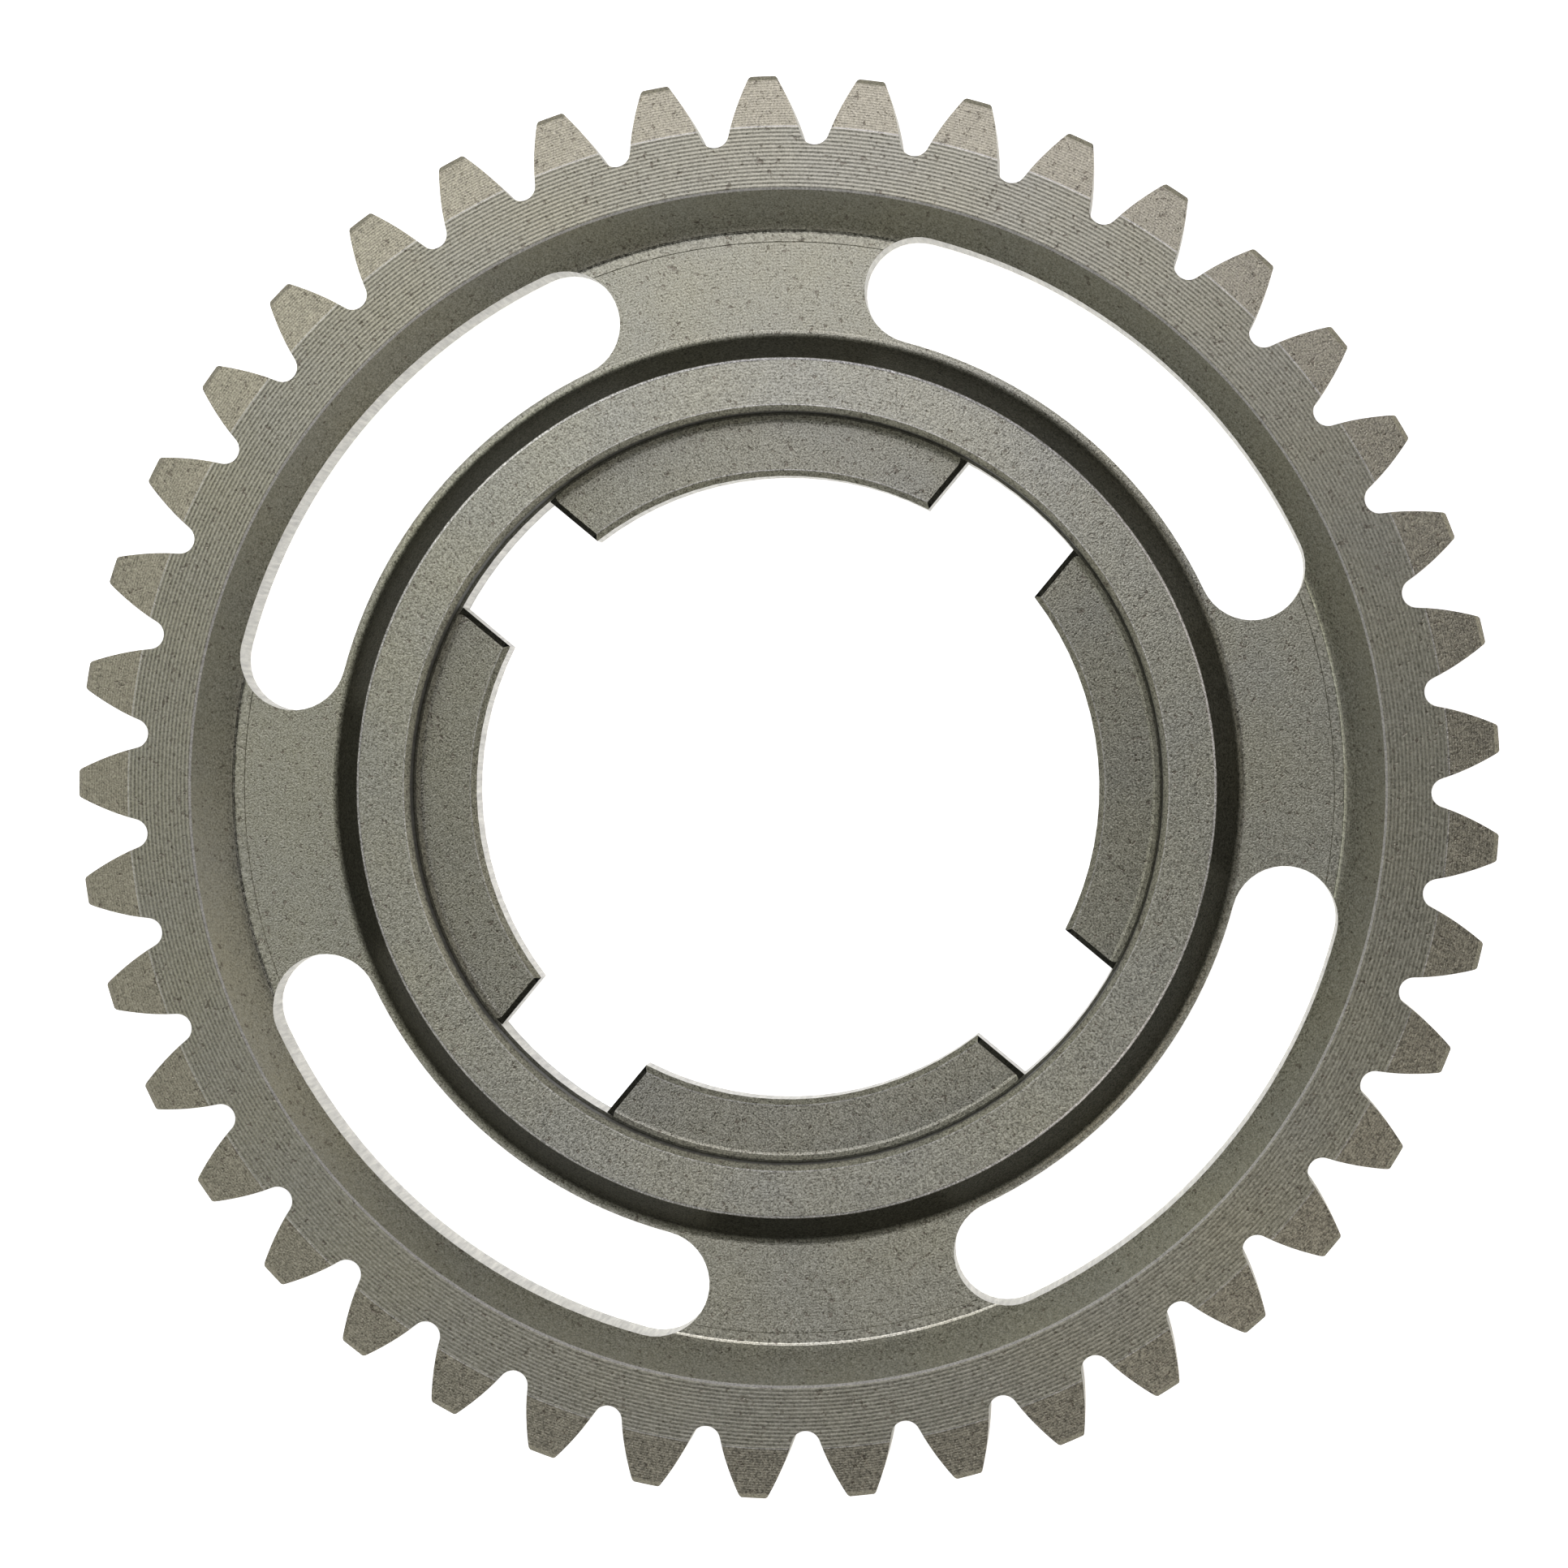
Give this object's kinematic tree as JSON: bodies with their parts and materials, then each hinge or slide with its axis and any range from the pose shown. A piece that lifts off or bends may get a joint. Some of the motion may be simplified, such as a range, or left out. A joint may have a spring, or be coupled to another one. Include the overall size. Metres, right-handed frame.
{
  "type": "transmission gear",
  "caption": "Straight-cut spur gear with a slotted web, raised hub ring and inner dogs with notches between them, for a sliding selector on a hollow gearbox shaft.",
  "frame": {"origin": "on the shaft axis, at the back end face of the hub ring", "axes": "+Z along the shaft axis, from the back face to the front face; +X and +Y through the centres of neighbouring notches"},
  "size_m": [0.1093, 0.1094, 0.0104],
  "materials": {
    "steel": "case-hardened steel, tumbled to a fine matt speckle, with turned lines on the rim faces"
  },
  "bodies": {
    "root": {"gear": "steel"}
  },
  "joints": []
}
